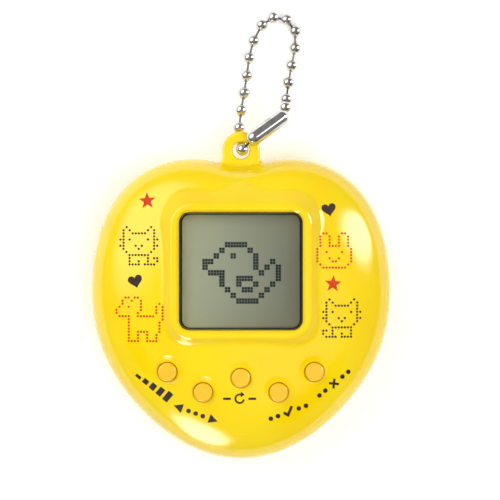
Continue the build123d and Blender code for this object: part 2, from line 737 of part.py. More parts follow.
def battery_cover():
    """Flush cover trimmed to the shell's outside, with a sunk hole for its screw."""
    plate = rounded_plate(COVER_WIDTH, COVER_HEIGHT, COVER_CORNER, COVER_Y, 0, COVER_THICKNESS)
    cover = plate & rear_bowl(0, 0)
    cover -= upright(SCREW_HEAD_RADIUS + 0.1, 0, COVER_SCREW_Y, -1, 0.9)
    cover -= upright(SCREW_SHANK_RADIUS, 0, COVER_SCREW_Y, 0, COVER_THICKNESS + 1)
    for rib in range(5):
        y = COVER_Y + COVER_HEIGHT / 2 - (rib + 2) * COVER_RIB_PITCH
        cover -= block((-4, 4), (y - 0.2, y + 0.2), (-1, 0.25))
    return cover


def screw(x, y, head_bottom_z, tip_z, head_radius, shank_radius):
    """Cross-head screw driven from the back."""
    head_top_z = head_bottom_z + SCREW_HEAD_HEIGHT
    body = upright(head_radius, x, y, head_bottom_z, head_top_z)
    body = fillet(edges_at(body, head_bottom_z), 0.3)
    body += upright(shank_radius, x, y, head_top_z, tip_z)
    for turn in (0, 90):
        body -= Pos(x, y, head_bottom_z) * Rot(0, 0, turn) * Box(1.7, 0.35, 0.9)
    return body


def case_screws():
    """Three screws that hold the shells together."""
    head_z = SCREW_WELL_DEPTH - SCREW_HEAD_HEIGHT
    tip_z = SPLIT_Z + 3.6
    return Compound([
        screw(x, y, head_z, tip_z, SCREW_HEAD_RADIUS, SCREW_SHANK_RADIUS)
        for x, y in CASE_SCREW_PLACES
    ])


def cover_screw():
    """Short screw that holds the battery cover."""
    head_radius = SCREW_HEAD_RADIUS - 0.05
    return screw(0, COVER_SCREW_Y, 0.1, COVER_SCREW_TIP_Z, head_radius, COVER_SCREW_RADIUS)


# ----------------------------------------------------------------------------------------------
# Ball chain
# ----------------------------------------------------------------------------------------------
def bead_centre(index):
    """Centre of a bead."""
    return Vector(*BEAD_CENTRES[index])


def link_direction(index):
    """Unit vector from one bead to the next; the last link closes the loop at the lug bead."""
    following = (index + 1) % len(BEAD_CENTRES)
    return (bead_centre(following) - bead_centre(index)).normalized()


def bead_shell(index):
    """Hollow bead with a hole where each link enters."""
    centre = bead_centre(index)
    shell = Sphere(BEAD_RADIUS) - Sphere(BEAD_RADIUS - BEAD_WALL)
    shell = Pos(*centre) * shell
    for direction in (link_direction(index), -link_direction(index - 1)):
        shell -= stick(centre, centre + direction * (BEAD_RADIUS + 0.5), BEAD_HOLE_RADIUS)
    return shell


def link(index):
    """Dumbbell link from inside one bead to inside the next."""
    direction = link_direction(index)
    inside = LINK_PIVOT - LINK_HEAD_DEPTH
    start = bead_centre(index) + direction * inside
    following = (index + 1) % len(BEAD_CENTRES)
    end = bead_centre(following) - direction * inside
    rod = stick(start, end, LINK_RADIUS)
    return rod + Pos(*start) * Sphere(LINK_HEAD_RADIUS) + Pos(*end) * Sphere(LINK_HEAD_RADIUS)


def closing_link():
    """The last bead's link: it stops just short of the lug bead, where the loop is open."""
    last = len(BEAD_CENTRES) - 1
    direction = link_direction(last)
    start = bead_centre(last) + direction * (LINK_PIVOT - LINK_HEAD_DEPTH)
    end = bead_centre(0) - direction * (BEAD_RADIUS + 0.08)
    return stick(start, end, LINK_RADIUS) + Pos(*start) * Sphere(LINK_HEAD_RADIUS)


def chain_bead(index):
    """One bead with the link that leaves it."""
    last = len(BEAD_CENTRES) - 1
    if index == last - 1:
        return bead_shell(index)
    leaving = closing_link() if index == last else link(index)
    return Compound([bead_shell(index).solid(), leaving.solid()])


def chain_connector():
    """Rolled sleeve with rounded, slotted ends that snap over the chain's two end beads."""
    upper = bead_centre(len(BEAD_CENTRES) - 2)
    lower = bead_centre(len(BEAD_CENTRES) - 1)
    along = (upper - lower).normalized()
    sleeve = stick(lower, upper, CONNECTOR_RADIUS)
    sleeve += Pos(*upper) * Sphere(CONNECTOR_RADIUS)
    sleeve += Pos(*lower) * Sphere(CONNECTOR_RADIUS)
    bore = stick(lower, upper, CONNECTOR_BORE)
    bore += Pos(*upper) * Sphere(CONNECTOR_BORE)
    bore += Pos(*lower) * Sphere(CONNECTOR_BORE)
    sleeve -= bore
    ends = (
        (upper, along, -link_direction(len(BEAD_CENTRES) - 3)),
        (lower, -along, link_direction(len(BEAD_CENTRES) - 1)),
    )
    for centre, outward, leaving in ends:
        for step in range(6):
            aim = (outward * (5 - step) + leaving * step).normalized()
            sleeve -= stick(centre, centre + aim * 2, CONNECTOR_SLOT)
    return sleeve


# ----------------------------------------------------------------------------------------------
# Assembly
# ----------------------------------------------------------------------------------------------
def all_parts():
    """Every piece by name."""
    parts = {
        "front_shell": front_shell(),
        "rear_shell": rear_shell(),
        "battery_cover": battery_cover(),
        "battery_cover_screw": cover_screw(),
        "battery_cover_contact": cover_contact(),
        "case_screws": case_screws(),
        "window_lens": window_lens(),
        "lcd_holder": lcd_holder(),
        "zebra_strip": zebra_strip(),
        "circuit_board": circuit_board(),
        "board_screws": board_screws(),
        "chip_blob": chip_blob(),
        "chip_resistors": chip_row(RESISTOR_PLACES, 2.0, 1.2, 0.5),
        "chip_capacitors": chip_row(CAPACITOR_PLACES, 2.0, 1.2, 0.9),
        "buzzer_leads": buzzer_leads(),
        "battery_contact_positive": roof_contact(1),
        "battery_contact_negative": roof_contact(-1),
        "button_cell_left": button_cell(-1),
        "button_cell_right": button_cell(1),
        "chain_connector": chain_connector(),
    }
    parts.update(lcd_parts())
    parts.update(buzzer_parts())
    for name, place in BUTTON_PLACES.items():
        parts["button_cap_" + name] = button_cap(place)
        parts["rubber_dome_" + name] = rubber_dome(place)
    for index in range(len(BEAD_CENTRES)):
        parts[f"chain_bead_{index + 1:02d}"] = chain_bead(index)
    return parts


def main():
    os.makedirs("parts", exist_ok=True)
    for name, part in all_parts().items():
        export_step(part, f"parts/{name}.step")


if __name__ == "__main__":
    main()
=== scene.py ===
"""Looks of the heart-shaped virtual pet keychain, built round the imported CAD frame.

The toy lies on its flat back with +Z out of the screen and +Y towards the keychain lug. Lengths
are written in millimetres and turned into Blender's metres by MM.
"""
import json
import math
import bpy
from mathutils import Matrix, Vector
from mathutils.bvhtree import BVHTree
from mathutils.geometry import delaunay_2d_cdt

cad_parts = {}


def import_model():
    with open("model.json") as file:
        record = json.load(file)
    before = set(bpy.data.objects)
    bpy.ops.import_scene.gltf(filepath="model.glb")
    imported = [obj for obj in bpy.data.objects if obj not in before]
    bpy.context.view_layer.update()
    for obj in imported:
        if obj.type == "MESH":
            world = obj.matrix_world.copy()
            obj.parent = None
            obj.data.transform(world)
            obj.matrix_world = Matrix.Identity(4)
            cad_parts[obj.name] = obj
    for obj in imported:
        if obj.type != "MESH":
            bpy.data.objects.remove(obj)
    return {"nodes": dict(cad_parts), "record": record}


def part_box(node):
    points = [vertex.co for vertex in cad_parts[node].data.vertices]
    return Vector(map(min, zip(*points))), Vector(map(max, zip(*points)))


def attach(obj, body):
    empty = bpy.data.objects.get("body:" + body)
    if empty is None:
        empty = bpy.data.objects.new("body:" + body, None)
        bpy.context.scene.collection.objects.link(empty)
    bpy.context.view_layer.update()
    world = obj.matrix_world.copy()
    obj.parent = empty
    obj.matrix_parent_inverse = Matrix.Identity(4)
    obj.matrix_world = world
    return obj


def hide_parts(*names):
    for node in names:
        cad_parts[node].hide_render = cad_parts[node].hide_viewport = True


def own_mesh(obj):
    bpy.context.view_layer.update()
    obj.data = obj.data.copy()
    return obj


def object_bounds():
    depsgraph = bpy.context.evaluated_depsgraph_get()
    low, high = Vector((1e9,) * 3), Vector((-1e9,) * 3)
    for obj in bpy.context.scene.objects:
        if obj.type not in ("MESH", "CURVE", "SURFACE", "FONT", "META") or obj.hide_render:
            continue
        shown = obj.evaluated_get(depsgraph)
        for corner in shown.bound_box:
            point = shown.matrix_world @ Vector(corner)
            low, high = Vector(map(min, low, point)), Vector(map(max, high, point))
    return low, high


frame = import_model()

CAD_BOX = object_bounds()
NODES = frame["nodes"]
MM = 0.001

# ----------------------------------------------------------------------------------------------
# Sizes read from the frame (mm)
# ----------------------------------------------------------------------------------------------


def box_mm(node):
    """Lowest and highest corner of a CAD node in millimetres."""
    low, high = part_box(node)
    return low / MM, high / MM


LENS_LOW, LENS_HIGH = box_mm("window_lens")
LCD_TOP = box_mm("lcd_front_polariser")[1].z
PARTING_Z = box_mm("front_shell")[0].z

# ----------------------------------------------------------------------------------------------
# Sizes chosen for the looks (mm)
# ----------------------------------------------------------------------------------------------
BUTTON_NAMES = ("left", "lower_left", "middle", "lower_right", "right")
SMALLEST_BALL = 1.5           # a chain node's ball is wider than this all ways, its link is not
# half width of the dark hairline of painted shade along the shells' seam
SEAM_SHADE_HALF_WIDTH = 0.06

# Ink on the shell
INK_LIFT = 0.012              # the ink stands this far above the plastic
INK_DEPTH = 0.03              # and reaches this far into it
INK_GRID = 0.35               # spacing of the points that bend a larger print over the dome
DOT_PITCH = 0.49
DOT_RADIUS = 0.19
DOT_SIDES = 10
STAR_RADIUS = 1.4
HEART_WIDTH = 2.3
SIGN_DOT = 0.38
SIGN_DOT_PLACES = (-2.95, -1.75, 1.75, 2.95)

# Screen picture: each cell is a block of 2 x 2 square dots
CELL = 0.888
CELL_DOT = 0.405
PICTURE_CENTRE = (0.12, 5.83)
PICTURE_DEPTH = 0.012         # the dots reach this far above and below the film's face

# Black border printed on the back of the lens
BORDER_SIDE = 0.46            # width on the left and right
BORDER_END = 0.35             # width at the top and bottom
BORDER_CORNER = 1.25
BORDER_DEPTH = 0.03
BORDER_GAP = 0.01             # between the border and the lens's edge
BORDER_LIFT = 0.005           # the border lies this far inside the lens
LENS_CORNER = 1.65


# ----------------------------------------------------------------------------------------------
# Materials
# ----------------------------------------------------------------------------------------------
def new_material(name, color, roughness, metallic=0.0):
    """A Principled material and its node tree, shader and object-space coordinates."""
    material = bpy.data.materials.new(name)
    material.use_nodes = True
    tree = material.node_tree
    shader = tree.nodes["Principled BSDF"]
    shader.inputs["Base Color"].default_value = (*color, 1.0)
    shader.inputs["Roughness"].default_value = roughness
    shader.inputs["Metallic"].default_value = metallic
    coords = tree.nodes.new("ShaderNodeTexCoord")
    return material, tree, shader, coords


def noise(tree, coords, size_mm, detail=3.0):
    """Noise whose features are about size_mm across."""
    node = tree.nodes.new("ShaderNodeTexNoise")
    node.inputs["Scale"].default_value = 1.0 / (size_mm * MM)
    node.inputs["Detail"].default_value = detail
    tree.links.new(coords.outputs["Object"], node.inputs["Vector"])
    return node


def vary_color(tree, shader, source, color_a, color_b, low=0.35, high=0.65):
    """Base colour that drifts between two colours with the source node's value."""
    ramp = tree.nodes.new("ShaderNodeValToRGB")
    ramp.color_ramp.elements[0].position = low
    ramp.color_ramp.elements[0].color = (*color_a, 1.0)
    ramp.color_ramp.elements[1].position = high
    ramp.color_ramp.elements[1].color = (*color_b, 1.0)
    tree.links.new(source.outputs[0], ramp.inputs["Fac"])
    tree.links.new(ramp.outputs["Color"], shader.inputs["Base Color"])


def vary_roughness(tree, shader, source, smooth, rough):
    """Roughness that drifts between two values with the source node's value."""
    span = tree.nodes.new("ShaderNodeMapRange")
    span.inputs["To Min"].default_value = smooth
    span.inputs["To Max"].default_value = rough
    tree.links.new(source.outputs[0], span.inputs["Value"])
    tree.links.new(span.outputs["Result"], shader.inputs["Roughness"])


def add_bump(tree, shader, source, height_mm):
    """Bump of that height from the source node's value."""
    bump = tree.nodes.new("ShaderNodeBump")
    bump.inputs["Distance"].default_value = height_mm * MM
    bump.inputs["Strength"].default_value = 1.0
    tree.links.new(source.outputs[0], bump.inputs["Height"])
    tree.links.new(bump.outputs["Normal"], shader.inputs["Normal"])


def moulded_plastic(name, color_a, color_b, smooth, rough):
    """Moulded plastic: colour drift over a centimetre, faint ripple and patches of wear."""
    material, tree, shader, coords = new_material(name, color_a, smooth)
    shader.inputs["IOR"].default_value = 1.55
    shader.inputs["Coat Weight"].default_value = 0.25
    drift = noise(tree, coords, size_mm=9.0, detail=1.0)
    vary_color(tree, shader, drift, color_a, color_b)
    vary_roughness(tree, shader, noise(tree, coords, size_mm=1.1), smooth, rough)
    add_bump(tree, shader, noise(tree, coords, size_mm=2.2, detail=2.0), height_mm=0.004)
    return material


def paint_seam_shade(material, color):
    """Painted shade: a dark hairline painted into the plastic's colour where the two shells meet, for
    the shade in the seam between them.
    """
    tree = material.node_tree
    base = tree.nodes["Principled BSDF"].inputs["Base Color"]
    coords = tree.nodes.new("ShaderNodeTexCoord")
    split = tree.nodes.new("ShaderNodeSeparateXYZ")
    tree.links.new(coords.outputs["Object"], split.inputs["Vector"])
    seam_shade_mask = tree.nodes.new("ShaderNodeMath")
    seam_shade_mask.operation = "COMPARE"
    seam_shade_mask.inputs[1].default_value = PARTING_Z * MM
    seam_shade_mask.inputs[2].default_value = SEAM_SHADE_HALF_WIDTH * MM
    tree.links.new(split.outputs["Z"], seam_shade_mask.inputs[0])
    mix = tree.nodes.new("ShaderNodeMix")
    mix.data_type = "RGBA"
    tree.links.new(seam_shade_mask.outputs["Value"], mix.inputs["Factor"])
    tree.links.new(base.links[0].from_socket, mix.inputs["A"])
    mix.inputs["B"].default_value = (*color, 1.0)
    tree.links.new(mix.outputs["Result"], base)


def metal(name, color_a, color_b, smooth, rough):
    """Metal with patchy polish and fine grain."""
    material, tree, shader, coords = new_material(name, color_a, smooth, metallic=1.0)
    vary_color(tree, shader, noise(tree, coords, size_mm=1.6), color_a, color_b)
    vary_roughness(tree, shader, noise(tree, coords, size_mm=0.5), smooth, rough)
    add_bump(tree, shader, noise(tree, coords, size_mm=0.25), height_mm=0.001)
    return material


def clear_plastic(name, tint, smooth, rough):
    """Clear acrylic or glass with a faint uneven polish."""
    material, tree, shader, coords = new_material(name, tint, smooth)
    shader.inputs["Transmission Weight"].default_value = 1.0
    shader.inputs["IOR"].default_value = 1.49
    vary_roughness(tree, shader, noise(tree, coords, size_mm=4.0), smooth, rough)
    return material


def ink(name, color_a, color_b):
    """Matt pad-printed ink with slightly uneven coverage."""
    material, tree, shader, coords = new_material(name, color_a, 0.4)
    shader.inputs["Specular IOR Level"].default_value = 0.2
    vary_color(tree, shader, noise(tree, coords, size_mm=0.35), color_a, color_b)
    vary_roughness(tree, shader, noise(tree, coords, size_mm=0.2), smooth=0.3, rough=0.5)
    return material


def lcd_film():
    """Grey-green film of the display, with painted light: its colour is painted lighter towards the
    left and darker towards the right, as the light falls on it.
    """
    painted_light_left = (0.88, 0.93, 0.65)
    painted_shade_right = (0.37, 0.39, 0.29)
    material, tree, shader, coords = new_material("lcd_film", painted_light_left, 0.5)
    # painted light and shade: the colour runs from the lit left to the shaded right across the lens
    split = tree.nodes.new("ShaderNodeSeparateXYZ")
    tree.links.new(coords.outputs["Object"], split.inputs["Vector"])
    across = tree.nodes.new("ShaderNodeMapRange")
    across.inputs["From Min"].default_value = LENS_LOW.x * MM
    across.inputs["From Max"].default_value = LENS_HIGH.x * MM
    tree.links.new(split.outputs["X"], across.inputs["Value"])
    vary_color(tree, shader, across, painted_light_left, painted_shade_right, low=0.0, high=1.0)
    vary_roughness(tree, shader, noise(tree, coords, size_mm=0.8), smooth=0.4, rough=0.6)
    add_bump(tree, shader, noise(tree, coords, size_mm=0.06), height_mm=0.002)
    return material


def board_mask():
    """Green solder mask with the faint weave of the glass cloth below."""
    material, tree, shader, coords = new_material("board_mask", (0.02, 0.12, 0.03), 0.35)
    weave = tree.nodes.new("ShaderNodeTexWave")
    weave.inputs["Scale"].default_value = 400.0
    weave.inputs["Distortion"].default_value = 1.0
    tree.links.new(coords.outputs["Object"], weave.inputs["Vector"])
    drift = noise(tree, coords, size_mm=2.0)
    vary_color(tree, shader, drift, (0.015, 0.11, 0.03), (0.03, 0.16, 0.05))
    add_bump(tree, shader, weave, height_mm=0.004)
    return material


YELLOW = moulded_plastic("yellow_abs", (1.0, 0.69, 0.0), (1.0, 0.735, 0.004), 0.1, 0.16)
# painted shade: a dark hairline along the seam between the shells
paint_seam_shade(YELLOW, (0.3, 0.16, 0.0))
BUTTON_YELLOW = moulded_plastic("button_yellow", (1.0, 0.53, 0.0), (1.0, 0.56, 0.001), 0.2, 0.3)
CHROME = metal("chain_nickel", (0.8, 0.79, 0.77), (0.64, 0.62, 0.59), 0.05, 0.16)
# painted shade: a dark, rougher copy of the chain metal for the links and hole rims, darkened for the
# shade between and inside the balls
SHADED_LINK_METAL = metal("link_metal_painted_shade", (0.2, 0.185, 0.16), (0.12, 0.11, 0.1), 0.3, 0.45)
DARK_INK = ink("dark_brown_ink", (0.03, 0.018, 0.012), (0.05, 0.03, 0.02))
BORDER_INK = ink("border_black", (0.006, 0.006, 0.007), (0.01, 0.01, 0.011))
CELL_INK = ink("display_cell", (0.018, 0.032, 0.034), (0.026, 0.042, 0.043))
RED_INK = ink("red_ink", (0.62, 0.03, 0.0), (0.72, 0.06, 0.001))
SLOT_MATERIALS = {
    "shell_plastic": YELLOW,
    "clear_lens": clear_plastic("lens_acrylic", (0.99, 1.0, 0.99), 0.015, 0.024),
    "lcd_glass": clear_plastic("display_glass", (0.97, 0.99, 0.97), 0.02, 0.032),
    "lcd_film": lcd_film(),
    "holder_plastic": moulded_plastic("holder_plastic", (0.7, 0.7, 0.66), (0.78, 0.78, 0.74),
                                      0.35, 0.5),
    "rubber": moulded_plastic("silicone", (0.25, 0.25, 0.24), (0.32, 0.32, 0.3), 0.5, 0.7),
    "board": board_mask(),
    "resin": moulded_plastic("black_resin", (0.01, 0.01, 0.01), (0.02, 0.02, 0.02), 0.2, 0.35),
    "ceramic_chip": moulded_plastic("chip_ceramic", (0.5, 0.45, 0.33), (0.6, 0.56, 0.42),
                                    0.3, 0.5),
    "screw_steel": metal("screw_zinc", (0.62, 0.62, 0.64), (0.5, 0.5, 0.52), 0.2, 0.4),
    "cell_steel": metal("cell_nickel", (0.72, 0.72, 0.72), (0.6, 0.6, 0.6), 0.15, 0.3),
    "contact_metal": metal("contact_nickel", (0.7, 0.68, 0.6), (0.6, 0.57, 0.5), 0.2, 0.35),
    "brass": metal("buzzer_brass", (0.72, 0.5, 0.18), (0.62, 0.4, 0.13), 0.2, 0.4),
    "lead_insulation": moulded_plastic("lead_red", (0.4, 0.01, 0.01), (0.5, 0.02, 0.02),
                                       0.4, 0.55),
    "chain_chrome": CHROME,
}


# ----------------------------------------------------------------------------------------------
# Nodes of the frame
# ----------------------------------------------------------------------------------------------
def new_object(name, data):
    """Links a new object into the scene."""
    made = bpy.data.objects.new(name, data)
    bpy.context.scene.collection.objects.link(made)
    return made


def loose_parts(mesh):
    """For each vertex, a number that all the vertices connected with it share."""
    part = list(range(len(mesh.vertices)))

    def shared(index):
        while part[index] != index:
            part[index] = part[part[index]]
            index = part[index]
        return index

    for edge in mesh.edges:
        start, end = edge.vertices
        part[shared(start)] = shared(end)
    return [shared(index) for index in range(len(part))]


def paint_link_shade(mesh):
    """The ball of a chain node keeps the bright chain metal; its link and the rims of its holes get a
    dark, rougher copy of it, painted shade for the shade between and inside the balls.
    """
    part = loose_parts(mesh)
    places = {}
    for vertex, number in zip(mesh.vertices, part):
        places.setdefault(number, []).append(vertex.co)
    balls = set()
    for number, points in places.items():
        if min(max(along) - min(along) for along in zip(*points)) > SMALLEST_BALL * MM:
            balls.add(number)
    # links and hole rims take the painted-shade copy of the chain metal
    mesh.materials.append(SHADED_LINK_METAL)
    for face in mesh.polygons:
        face.material_index = 0 if part[face.vertices[0]] in balls else 1


def dress_frame():
    """Every CAD node gets the material of its slot."""
    for entry in frame["record"]["subparts"]:
        node = NODES[entry["node"]]
        node.data.materials.clear()
        node.data.materials.append(SLOT_MATERIALS[entry["material_slot"]])
    for name in BUTTON_NAMES:
        NODES["button_cap_" + name].data.materials[0] = BUTTON_YELLOW
    for name in NODES:
        if name.startswith("chain_bead_"):
            paint_link_shade(NODES[name].data)


def soft_domes():
    """The rubber domes again, as copies that own their meshes, hung on the case body in place of the
    hidden CAD nodes.
    """
    for name in BUTTON_NAMES:
        node = "rubber_dome_" + name
        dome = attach(new_object("soft_dome_" + name, NODES[node].data.copy()), "case")
        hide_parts(node)
        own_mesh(dome)


# ----------------------------------------------------------------------------------------------
# Printed ink
# ----------------------------------------------------------------------------------------------
def shell_tree():
    """Search tree over the front shell, for laying ink on it."""
    mesh = NODES["front_shell"].data
    corners = [vertex.co.copy() for vertex in mesh.vertices]
    return BVHTree.FromPolygons(corners, [tuple(face.vertices) for face in mesh.polygons])


SHELL_TREE = shell_tree()


def shell_height(x, y):
    """Height of the shell's outside over a point, in mm."""
    above = Vector((x, y, 2 * CAD_BOX[1].z / MM)) * MM
    return SHELL_TREE.ray_cast(above, Vector((0, 0, -1)))[0].z / MM


def stepped(loop, step):
    """The outline with points added along its sides, so that it can follow a curved surface."""
    found = []
    for (start_x, start_y), (end_x, end_y) in zip(loop, loop[1:] + loop[:1]):
        count = math.ceil(math.hypot(end_x - start_x, end_y - start_y) / step)
        for index in range(count):
            share = index / count
            found.append((start_x + (end_x - start_x) * share, start_y + (end_y - start_y) * share))
    return found


def filled(loop, grid):
    """Triangles that fill an outline, with inner points on a grid: (points, triangles)."""
    loop = stepped(loop, grid)
    xs = [x for x, y in loop]
    ys = [y for x, y in loop]
    inner = []
    for column in range(1, math.ceil((max(xs) - min(xs)) / grid)):
        for row in range(1, math.ceil((max(ys) - min(ys)) / grid)):
            inner.append(Vector((min(xs) + column * grid, min(ys) + row * grid)))
    outline = [Vector(point) for point in loop]
    count = len(outline)
    only_inside = 1
    same_point = 1e-6
    result = delaunay_2d_cdt(outline + inner, [], [list(range(count))], only_inside, same_point)
    return [tuple(point) for point in result[0]], [tuple(face) for face in result[2]]


def film_mesh(name, sheets):
    """Closed thin mesh (mm in, metres out) from sheets of (upper points, lower points, faces)."""
    points = []
    faces = []
    for upper, lower, triangles in sheets:
        first = len(points)
        count = len(upper)
        points += [Vector(point) * MM for point in upper + lower]
        sides = []
        for face in triangles:
            faces.append([first + index for index in face])
            faces.append([first + count + index for index in reversed(face)])
            sides += zip(face, face[1:] + face[:1])
        shared = set(sides)
        for start, end in sides:
            if (end, start) not in shared:
                faces.append([first + end, first + start, first + count + start,
                              first + count + end])
    mesh = bpy.data.meshes.new(name)
    mesh.from_pydata(points, [], faces)
    mesh.update()
    return mesh


def shell_print(name, loops, material):
    """Ink in the shape of the outlines (mm, seen from the front), bent over the shell."""
    sheets = []
    for loop in loops:
        flat, triangles = filled(loop, INK_GRID)
        heights = [shell_height(x, y) for x, y in flat]
        upper = [(x, y, z + INK_LIFT) for (x, y), z in zip(flat, heights)]
        lower = [(x, y, z - INK_DEPTH) for (x, y), z in zip(flat, heights)]
        sheets.append((upper, lower, triangles))
    mesh = film_mesh(name, sheets)
    mesh.materials.append(material)
    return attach(new_object(name, mesh), "case")


def placed(loop, centre, degrees=0.0):
    """An outline turned and moved to a place."""
    turn = math.radians(degrees)
    cos = math.cos(turn)
    sin = math.sin(turn)
    return [(centre[0] + x * cos - y * sin, centre[1] + x * sin + y * cos) for x, y in loop]


def disc(radius):
    """Round outline."""
    turns = [2 * math.pi * index / DOT_SIDES for index in range(DOT_SIDES)]
    return [(radius * math.cos(turn), radius * math.sin(turn)) for turn in turns]


def star(radius, points=5, notch=0.42):
    """Star with straight sides; its notches lie at the given share of the radius."""
    loop = []
    for index in range(2 * points):
        reach = radius if index % 2 == 0 else radius * notch
        turn = math.pi / 2 + math.pi * index / points
        loop.append((reach * math.cos(turn), reach * math.sin(turn)))
    return loop


def heart(width, steps=28):
    """Small heart from the well-known sine and cosine curve."""
    scale = width / 32        # the curve is 32 wide
    middle = -2.5             # and its middle is this high
    loop = []
    for index in range(steps):
        turn = -2 * math.pi * index / steps
        x = 16 * math.sin(turn) ** 3
        y = 13 * math.cos(turn) - 5 * math.cos(2 * turn) - 2 * math.cos(3 * turn) - math.cos(4 * turn)
        loop.append((x * scale, (y - middle) * scale))
    return loop


def bar(width, height, lift=0.0):
    """Upright rectangle."""
    low = lift - height / 2
    high = lift + height / 2
    return [(-width / 2, low), (width / 2, low), (width / 2, high), (-width / 2, high)]


def arc(radius, start, sweep, steps=14):
    """Points along an arc, its angles in degrees."""
    turns = [math.radians(start + sweep * index / steps) for index in range(steps + 1)]
    return [(radius * math.cos(turn), radius * math.sin(turn)) for turn in turns]


def ring_arrow(radius, width):
    """Most of a ring, open at its upper right, and the arrow head at the opening."""
    start = 70
    sweep = 280
    outer = arc(radius + width / 2, start, sweep)
    inner = arc(radius - width / 2, start, sweep)
    head_back = radius * 0.25
    head_tip = radius * 1.15
    head_half = width * 1.6
    head = [(head_back, radius + head_half), (head_back, radius - head_half), (head_tip, radius)]
    return [outer + inner[::-1], head]


def picture_places(rows, pitch):
    """Centres of the marked cells of a picture drawn with characters, about its middle."""
    height = len(rows)
    width = len(rows[0])
    return [
        ((column - (width - 1) / 2) * pitch, ((height - 1) / 2 - row) * pitch)
        for row, line in enumerate(rows)
        for column, mark in enumerate(line)
        if mark == "#"
    ]


def dotted(rows, centre, mirrored=False):
    """Outlines of the dots of a printed figure."""
    flip = -1 if mirrored else 1
    return [
        placed(disc(DOT_RADIUS), (centre[0] + flip * x, centre[1] + y))
        for x, y in picture_places(rows, DOT_PITCH)
    ]


CAT = (
    "..#.......#..",
    ".#.#.....#.#.",
    ".#..#####..#.",
    ".#.........#.",
    "##.#.....#.##",
    ".#.........#.",
    "##...#.#...##",
    ".#....#....#.",
    "..#.......#..",
    "...#######...",
    "...#.....#.##",
    "...#..#..#..#",
    "...####.####.",
)
RABBIT = (
    "..##....##..",
    ".#..#..#..#.",
    ".#..#..#..#.",
    ".#..#..#..#.",
    ".#..####..#.",
    "#..........#",
    "#..#....#..#",
    "#..........#",
    "#...#..#...#",
    "#....##....#",
    ".#........#.",
    "..########..",
)
PUPPY = (
    "...##.##........",
    "..#..#..#.......",
    "..#.....#.....#.",
    ".#..#...#....#.#",
    "#.......#....#.#",
    "#......#.....#.#",
    ".####..######..#",
    "....#..........#",
    "....#.........#.",
    "....#.........#.",
    "....#.........#.",
    "....#..####...#.",
    "....#..#..#..#..",
    "....#..#..#..#..",
    "....####..####..",
)
DUCKLING = (
    "....####......",
    "...#....#.....",
    "..#..#...#....",
    "##.......#..#.",
    "#........#.#.#",
    ".###......#..#",
    "...#..###....#",
    "...#..#..#..#.",
    "....#..##..#..",
    ".....#....#...",
    "......####....",
)


def figures():
    """Stars, hearts and dotted animals on both sides of the screen."""
    shell_print("print_star_left", [placed(star(STAR_RADIUS), (-14.8, 17.2), 4)], RED_INK)
    shell_print("print_star_right", [placed(star(STAR_RADIUS), (14.5, 4.1), -4)], RED_INK)
    shell_print("print_heart_left", [placed(heart(HEART_WIDTH), (-16.6, 4.4), 14)], DARK_INK)
    shell_print("print_heart_right", [placed(heart(HEART_WIDTH), (13.9, 15.7), 10)], DARK_INK)
    shell_print("print_cat_left", dotted(CAT, (-16.1, 10.1)), DARK_INK)
    shell_print("print_cat_right", dotted(CAT, (15.9, -1.3), mirrored=True), DARK_INK)
    shell_print("print_puppy", dotted(PUPPY, (-16.0, -1.5)), RED_INK)
    shell_print("print_rabbit", dotted(RABBIT, (14.7, 9.35)), RED_INK)


def sign(name, centre, degrees, shapes):
    """A row of small shapes under a button, each given as (place along the row, outline)."""
    loops = []
    for along, loop in shapes:
        loops.append(placed([(x + along, y) for x, y in loop], centre, degrees))
    shell_print(name, loops, DARK_INK)


def level_bars():
    """Five bars on one base line, growing to the right."""
    count = 5
    pitch = 1.4
    width = 0.95
    lowest = 0.5
    growth = 0.3
    bars = []
    for step in range(count):
        place = (step - count // 2) * pitch
        bars.append((place, bar(width, lowest + growth * step, lift=growth * step / 2)))
    return bars


def two_arrows():
    """Arrow heads that point away from three dots between them."""
    pointer = [(-0.65, 0.75), (-0.65, -0.75), (0.8, 0.0)]
    back_pointer = [(-x, -y) for x, y in pointer]
    reach = 2.9
    pitch = 1.2
    dots = [(pitch * step, disc(SIGN_DOT)) for step in (-1, 0, 1)]
    return [(-reach, back_pointer), (reach, pointer)] + dots


def restart():
    """Ring with an arrow head between two dashes."""
    dashes = [(side * 2.0, bar(1.2, 0.36)) for side in (-1, 1)]
    return [(0.0, loop) for loop in ring_arrow(radius=0.68, width=0.3)] + dashes


def between_dots(loop):
    """An outline with two dots on each side."""
    return [(0.0, loop)] + [(place, disc(SIGN_DOT)) for place in SIGN_DOT_PLACES]


def tick():
    """Outline of a tick mark."""
    return [(-0.9, 0.05), (-0.55, 0.35), (-0.2, -0.05), (0.7, 0.9), (1.0, 0.62), (-0.2, -0.75)]


def cross():
    """Cross of two bars, standing on its points."""
    half = 0.19
    reach = 0.8
    quarter = [(half, half), (half, reach), (-half, reach)]
    loop = []
    for turn in range(4):
        loop += placed(quarter, (0, 0), 90 * turn)
    return placed(loop, (0, 0), 45)


def signs():
    """Pictograms under the five buttons: level bars, arrows, restart, tick and cross."""
    sign("sign_levels", (-14.1, -12.4), -40, level_bars())
    sign("sign_choose", (-7.15, -16.4), -20, two_arrows())
    sign("sign_restart", (-0.2, -14.0), 0, restart())
    sign("sign_agree", (7.5, -16.2), 20, between_dots(tick()))
    sign("sign_refuse", (14.7, -11.7), 39, between_dots(cross()))


# ----------------------------------------------------------------------------------------------
# Screen
# ----------------------------------------------------------------------------------------------
def rounded_loop(width, height, corner, centre, steps=6):
    """Rectangle with round corners."""
    loop = []
    for index, (side_x, side_y) in enumerate(((1, 1), (-1, 1), (-1, -1), (1, -1))):
        for step in range(steps + 1):
            turn = math.radians(90 * (index + step / steps))
            loop.append((
                centre[0] + side_x * (width / 2 - corner) + corner * math.cos(turn),
                centre[1] + side_y * (height / 2 - corner) + corner * math.sin(turn),
            ))
    return loop


